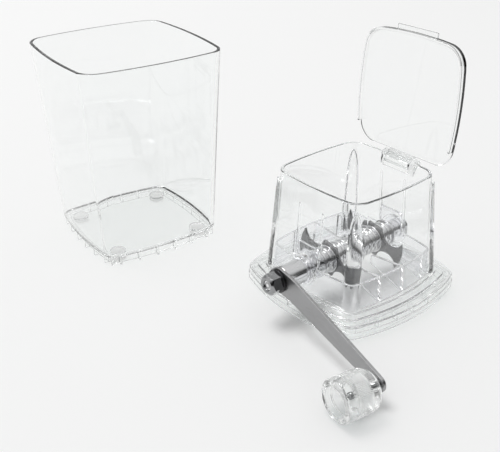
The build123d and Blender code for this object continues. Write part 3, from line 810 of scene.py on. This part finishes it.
# Bushes and hinge pin
bush = {"radius": 6.98, "flange": 10.5, "flangeThickness": 1.8, "bore": 5.05}
for side, label in ((-1, "near"), (1, "far")):
    face = shaft["bossFace"] + 0.01  # just clear of the boss
    front = shaft["bossFace"] + bush["flangeThickness"]
    profile = [(shaft["innerBush"], bush["bore"], 0.2), (shaft["innerBush"], bush["radius"], 0.3),
               (face, bush["radius"], 0), (face, bush["flange"], 0.3),
               (front, bush["flange"], 0.5), (front, bush["bore"], 0.3)]
    piece = asObject(lathe(profile, outward(side), closed=True), f"{label}Bush")
    finished(piece, "head", f"bush_{label}", insertPlastic)

pin = {"radius": 1.3, "low": -18.2, "high": 14.0}
pinPiece = asObject(rod(pin["low"], pin["high"], pin["radius"], hingeLine, 0.4, turns=32), "hingePin")
finished(pinPiece, "head", "hinge_pin", shellPlastic)

# Rotor: shaft, collars, blades and beaded spacers
rotor = {
    "thrust": (36.5, 42.14, 7.2), "retain": (52.54, 57.14, 7.6),
    "bladeThickness": 2.0, "bladeRadius": 29.0, "bladeHalf": 12.5, "bite": (17.0, 14.0, 10.4),
    "spoolFlange": 10.8, "spoolFlangeWidth": 1.3, "bead": 9.9, "beadPitch": 5.0, "core": 8.3,
    "spools": ((-36.5, -24.0), (-22.0, 0.0), (0.0, 22.0), (24.0, 36.5)),
}


def bladeOutline():
    r = rotor
    u, v, bite = r["bite"]
    big = r["bladeRadius"]
    reach = math.hypot(u, v)
    lean = math.acos((big ** 2 + reach ** 2 - bite ** 2) / (2 * big * reach))
    tip = math.atan2(v, u) - lean
    start = math.atan2(big * math.sin(tip) - v, big * math.cos(tip) - u)
    end = math.atan2(r["bladeHalf"] - v, -math.sqrt(bite ** 2 - (r["bladeHalf"] - v) ** 2))
    start, end = start % (2 * math.pi), end % (2 * math.pi)
    head = [(big * math.cos(a), big * math.sin(a)) for a in [tip * k / 10 for k in range(11)]]
    hollow = [(u + bite * math.cos(a), v + bite * math.sin(a)) for a in
              [start + (end - start) * k / 22 for k in range(1, 23)]]
    quarter = head + hollow
    upper = quarter + [(-x, y) for x, y in quarter[::-1]]
    lower = [(x, -y) for x, y in upper[::-1]][1:-1]
    return upper + lower


def crankPlane(x):
    # xy plane square to the shaft: x towards the crank's arm, y up, z towards the crank's nut
    flat = Matrix(((0, 0, -1, x), (-1, 0, 0, 0), (0, 1, 0, shaft["z"]), (0, 0, 0, 1)))
    return restTurn @ flat


for k, x in enumerate(bladeX):
    thickness = rotor["bladeThickness"]
    blade = asObject(slab(bladeOutline(), thickness, crankPlane(x + thickness / 2), 0.3), f"blade{k + 1}")
    finished(blade, "crank", f"blade_{k + 1}", bladeSteel)


def spoolMesh(low, high):
    r = rotor
    width = r["spoolFlangeWidth"]
    beads = round((high - low - 2 * width) / r["beadPitch"])
    pitch = (high - low - 2 * width) / beads
    profile = [(low, centreRadius, 0), (low, r["spoolFlange"], 0.4), (low + width, r["spoolFlange"], 0.4),
               (low + width, r["core"], 0.25)]
    for k in range(beads):
        at = low + width + (k + 0.5) * pitch
        profile += [(at - pitch / 4, r["core"], 0.3), (at - pitch / 4, r["bead"], 0.7),
                    (at + pitch / 4, r["bead"], 0.7), (at + pitch / 4, r["core"], 0.3)]
    profile += [(high - width, r["core"], 0.25), (high - width, r["spoolFlange"], 0.4),
                (high, r["spoolFlange"], 0.4), (high, centreRadius, 0)]
    return lathe(profile, restTurn @ alongX())


spoolGap = 0.01  # keeps the faces of neighbours apart
for k, (low, high) in enumerate(rotor["spools"]):
    spool = asObject(spoolMesh(low + spoolGap, high - spoolGap), f"spool{k + 1}")
    finished(spool, "crank", f"spool_{k + 1}", brightSpacer)


def turnedRing(name, node, span, radius, rounding, material):
    ring = asObject(rod(*span, radius, restTurn @ alongX(), rounding), name)
    finished(ring, "crank", node, material)


low, high, radius = rotor["thrust"]
turnedRing("thrustCollarFar", "thrust_collar_far", (low, high), radius, 0.4, brightSpacer)
turnedRing("thrustCollarNear", "thrust_collar_near", (-high, -low), radius, 0.4, brightSpacer)
low, high, radius = rotor["retain"]
turnedRing("retainingCollar", "retaining_collar", (low, high), radius, 0.8, polishedSleeve)
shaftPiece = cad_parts["rotor_shaft"]
shaftPiece.data.materials.clear()
shaftPiece.data.materials.append(brightSpacer)
print("rotor made")

# Drive sleeve, washer, nut and arm
drive = {
    "sleeve": (-70.29, -52.54, 9.25), "armFace": -72.79, "washer": 8.8, "washerWidth": 2.0,
    "flats": 14.4, "height": 9.4, "faceRadius": 5.9, "chamfer": 2.6, "chamferRadius": 8.7,
    "stud": 3.4, "studBack": 1.2,
}
low, high, radius = drive["sleeve"]
turnedRing("driveSleeve", "drive_sleeve", (low, high), radius, 0.7, polishedSleeve)
face = drive["armFace"]
nutBack = face - drive["washerWidth"]
# the washer carries painted shade, a near-black colour for the shadow in the gap behind the nut
turnedRing("armWasher", "arm_washer", (nutBack, face), drive["washer"], 0.5, washerPaintedShade)


def nutMesh():
    d = drive
    front, stud = d["height"], d["stud"]
    end = front - d["studBack"]
    apothem = d["flats"] / 2
    full = 20.0  # wider than the hexagon, so the flats rule there
    stations = [(0.0, full), (front - d["chamfer"] - 0.3, full)]
    for k in range(9):
        share = k / 8
        radius = d["chamferRadius"] + (d["faceRadius"] - d["chamferRadius"]) * share
        stations.append((front - d["chamfer"] * (1 - share), radius))
    # the stud's rounded end, a little behind the nut's face
    stations += [(front - 0.05, d["faceRadius"] - 0.5), (front - 0.05, stud + 0.9),
                 (front - 0.5, stud + 0.3), (front - 1.6, stud + 0.1), (front - 1.6, stud - 0.1),
                 (end - 0.1, stud - 0.3), (end, stud - 0.8), (end, 1.3), (end - 0.8, 0.9),
                 (end - 0.9, centreRadius)]
    place = crankPlane(nutBack)
    sixth = math.pi / 3
    rings = []
    for along, turnedRadius in stations:
        ring = []
        for k in range(96):
            a = 2 * math.pi * k / 96
            fold = (a + sixth / 2) % sixth - sixth / 2
            r = min(apothem / math.cos(fold) - 0.06, turnedRadius)
            turned = a + sixth / 2
            ring.append(place @ Vector((r * math.cos(turned), r * math.sin(turned), along)))
        rings.append(ring)
    return loft(rings)


finished(asObject(nutMesh(), "crankNut"), "crank", "crank_nut", nutSteel, sharp=28)

arm = {
    "hub": 9.7, "tip": 5.6, "reach": 109.0, "thickness": 2.5,
    "flare": 13.0, "bend": 14.0, "bendSoft": 6.0,
}
flareSlope = arm["flare"] / (arm["reach"] - arm["bend"])


def armMesh():
    s = arm
    lean = math.asin((s["hub"] - s["tip"]) / s["reach"])
    corners = []
    for k in range(29):
        a = math.pi / 2 - lean + (math.pi + 2 * lean) * k / 28
        corners.append((s["hub"] * math.cos(a), s["hub"] * math.sin(a)))
    for k in range(19):
        a = -math.pi / 2 - lean + math.pi * k / 18 + 2 * lean * k / 18
        corners.append((s["reach"] + s["tip"] * math.cos(a), s["tip"] * math.sin(a)))
    mesh = slab(corners, s["thickness"], Matrix.Translation((0, 0, -s["thickness"])), 0.35, 3)
    for k in range(-6, 7):
        x = s["bend"] + s["bendSoft"] * k / 6
        geom = mesh.verts[:] + mesh.edges[:] + mesh.faces[:]
        bmesh.ops.bisect_plane(mesh, geom=geom, plane_co=(x * mm, 0, 0), plane_no=(1, 0, 0))
    for vert in mesh.verts:
        x = vert.co.x / mm
        past = min(max((x - s["bend"] + s["bendSoft"]) / (2 * s["bendSoft"]), 0), 1)
        if past < 1:
            rise = flareSlope * s["bendSoft"] * past * past
        else:
            rise = flareSlope * (x - s["bend"])
        vert.co.z += rise * mm
    return moved(mesh, crankPlane(face))


finished(asObject(armMesh(), "crankArm"), "crank", "crank_arm", armSteel, sharp=28)
print("crank made")

# Knob on its pin
knob = {
    "radius": 14.6, "length": 33.0, "gap": 3.4, "baseRadius": 4.6, "frontRound": 2.6, "beadLength": 7.0,
    "baseFill": 0.985, "groove": 0.9, "flutes": 90, "fluteDepth": 0.22, "fluteFade": 1.5,
    "recess": 9.6, "recessDepth": 11.6,
    "bore": 1.86, "pin": 1.79, "head": 2.4, "headHeight": 1.6, "shoulder": 3.2,
}
tilt = (Matrix.Translation((arm["reach"], 0, arm["flare"]))
        @ Matrix.Rotation(-math.atan(flareSlope), 4, "Y"))
knobPlace = crankPlane(face) @ tilt


def knobMesh():
    s = knob
    gap, full, front = s["gap"], s["radius"], s["length"]
    base, groove = full - s["baseRadius"], full - s["groove"]
    fluteStart, fluteEnd = gap + base + 0.5, front - s["beadLength"]
    floor = front - s["recessDepth"]
    profile = [(gap, s["bore"], 0), (gap, s["baseRadius"], 0)]
    for k in range(1, 11):
        a = math.pi / 2 * k / 10
        out = s["baseRadius"] + base * math.sin(a) * s["baseFill"]
        profile.append((gap + base * (1 - math.cos(a)), out, 0))
    for k in range(13):
        profile.append((fluteStart + (fluteEnd - fluteStart) * k / 12, full - 0.2, 0))
    profile += [(fluteEnd + 0.3, groove, 0.2), (fluteEnd + 1.0, groove, 0.2),
                (fluteEnd + 1.4, full, 0.3), (front, full, s["frontRound"]),
                (front, s["recess"], 0.9), (floor, s["recess"], 1.2), (floor, s["bore"], 0.2)]

    def flute(along, radius, a):
        if along < fluteStart or along > fluteEnd or radius < full - 0.4:
            return radius
        fade = min((along - fluteStart) / s["fluteFade"], (fluteEnd - along) / s["fluteFade"], 1)
        return radius + fade * s["fluteDepth"] * (abs(math.cos(a * s["flutes"] / 2)) - 1)

    return lathe(profile, knobPlace, closed=True, turns=720, flute=flute)


finished(asObject(knobMesh(), "crankKnob"), "knob", "crank_knob", knobPlastic, sharp=50)


def knobPinMesh():
    # from behind the arm, over a shoulder, to the head in the recess
    s = knob
    pinRadius, head, shoulder = s["pin"], s["head"], s["shoulder"]
    back, collarStart, collarEnd = -2.5, 0.05, s["gap"] - 0.4
    floor = s["length"] - s["recessDepth"] + 0.15
    front = floor + s["headHeight"]
    profile = [(back, centreRadius, 0), (back, pinRadius, 0.3), (collarStart, pinRadius, 0),
               (collarStart, shoulder, 0.3), (collarEnd, shoulder, 0.5), (collarEnd, pinRadius, 0),
               (floor, pinRadius, 0), (floor, head, 0.3), (front, head, 0.8), (front, centreRadius, 0)]
    return lathe(profile, knobPlace, turns=48)


finished(asObject(knobPinMesh(), "knobPin"), "crank", "knob_pin", nutSteel)
print("knob made")

# Floor, light and camera
studio = {
    "floor": (0.895, 0.897, 0.895), "key": 132.0, "keyPlace": (-0.6, 1.7, 4.9), "keySize": 2.3,
    "roomSide": (-0.1, -1.0), "roomEdge": (0.05, 0.5),
    "sweep": ((0.0, 0.8), (0.3, 0.7), (0.7, 0.62), (1.0, 0.62)),
    "room": ((0.0, 0.02), (0.4, 0.04), (0.62, 0.6), (1.0, 0.62)),
    "mirrorSweep": ((0.0, 0.45), (0.35, 0.6), (0.55, 1.0), (1.0, 1.0)),
    "mirrorRoom": ((0.0, 0.02), (0.64, 0.03), (0.76, 0.95), (1.0, 1.0)),
}


def makeFloor():
    mesh = bmesh.new()
    bmesh.ops.create_grid(mesh, x_segments=1, y_segments=1, size=4)
    floorPiece = asObject(mesh, "floor")
    material, tree, surface = newMaterial("floorPaper")
    surface.inputs["Roughness"].default_value = 0.9
    surface.inputs["Specular IOR Level"].default_value = 0.1
    noise = addNode(tree, "ShaderNodeTexNoise")
    noise.inputs["Scale"].default_value = 3
    mix = addNode(tree, "ShaderNodeMix", data_type="RGBA")
    mix.inputs["A"].default_value = (*studio["floor"], 1)
    mix.inputs["B"].default_value = (*[c * 1.012 for c in studio["floor"]], 1)
    tree.links.new(noise.outputs["Fac"], mix.inputs["Factor"])
    tree.links.new(mix.outputs["Result"], surface.inputs["Base Color"])
    floorPiece.data.materials.append(material)


def makeWorld():
    # bright overhead, a pale sweep beyond the object and a dim room behind the camera,
    # with more contrast where it is seen in a reflection
    world = bpy.data.worlds.new("studioWorld")
    bpy.context.scene.world = world
    world.use_nodes = True
    tree = world.node_tree
    back = tree.nodes["Background"]
    place = addNode(tree, "ShaderNodeTexCoord")
    split = addNode(tree, "ShaderNodeSeparateXYZ")
    tree.links.new(place.outputs["Generated"], split.inputs["Vector"])
    behind = addNode(tree, "ShaderNodeVectorMath", operation="DOT_PRODUCT")
    behind.inputs[1].default_value = (*studio["roomSide"], 0)
    tree.links.new(place.outputs["Generated"], behind.inputs[0])
    dim = addNode(tree, "ShaderNodeMapRange", interpolation_type="SMOOTHSTEP")
    dim.inputs["From Min"].default_value = studio["roomEdge"][0]
    dim.inputs["From Max"].default_value = studio["roomEdge"][1]
    tree.links.new(behind.outputs["Value"], dim.inputs["Value"])
    levels = []
    for stops in (studio["sweep"], studio["room"], studio["mirrorSweep"], studio["mirrorRoom"]):
        ramp = addNode(tree, "ShaderNodeValToRGB")
        while len(ramp.color_ramp.elements) < len(stops):
            ramp.color_ramp.elements.new(0.5)
        for element, (at, level) in zip(ramp.color_ramp.elements, stops):
            element.position = at
            element.color = (level, level, level, 1)
        tree.links.new(split.outputs["Z"], ramp.inputs["Fac"])
        levels.append(ramp.outputs["Color"])
    light = addNode(tree, "ShaderNodeLightPath")
    through = mathNode(tree, "SUBTRACT", 1.0, light.outputs["Is Transmission Ray"])
    mirrored = mathNode(tree, "MULTIPLY", light.outputs["Is Glossy Ray"], through)
    seen = [mixed(tree, dim.outputs["Result"], *levels[k:k + 2]) for k in (0, 2)]
    tree.links.new(mixed(tree, mirrored, *seen), back.inputs["Color"])


def makeLamp(name, place, aim, size, power):
    lamp = bpy.data.lights.new(name, "AREA")
    lamp.shape = "SQUARE"
    lamp.size = size
    lamp.energy = power
    thing = bpy.data.objects.new(name, lamp)
    thing.location = place
    thing.rotation_euler = (Vector(aim) - Vector(place)).to_track_quat("-Z", "Y").to_euler()
    bpy.context.scene.collection.objects.link(thing)


# The camera: place and aim in millimetres, roll in degrees
view = {
    "place": (-387.67, -354.24, 334.43), "aim": (-69.37, 35.56, 60.0), "roll": -0.42, "lens": 57.21,
    "sensor": 36,
}


def makeCamera():
    camera = bpy.data.cameras.new("camera")
    camera.lens = view["lens"]
    camera.sensor_width = view["sensor"]
    camera.clip_start = 0.01
    ahead = (Vector(view["aim"]) - Vector(view["place"])).normalized()
    right = ahead.cross(Vector((0, 0, 1))).normalized()
    up = right.cross(ahead)
    roll = math.radians(view["roll"])
    across = math.cos(roll) * right + math.sin(roll) * up
    upright = -math.sin(roll) * right + math.cos(roll) * up
    thing = bpy.data.objects.new("camera", camera)
    turn = Matrix((across, upright, -ahead)).transposed().to_4x4()
    thing.matrix_world = Matrix.Translation(Vector(view["place"]) * mm) @ turn
    bpy.context.scene.collection.objects.link(thing)
    bpy.context.scene.camera = thing


makeFloor()
makeWorld()
makeLamp("softbox", studio["keyPlace"], (0, 0.05, 0.05), studio["keySize"], studio["key"])
makeCamera()
bpy.context.scene.view_settings.view_transform = "Standard"
cycles = bpy.context.scene.cycles  # enough passes for light to cross every clear wall
cycles.max_bounces = 64
cycles.transmission_bounces = 64
cycles.glossy_bounces = 24
cycles.transparent_max_bounces = 48
print("studio made")
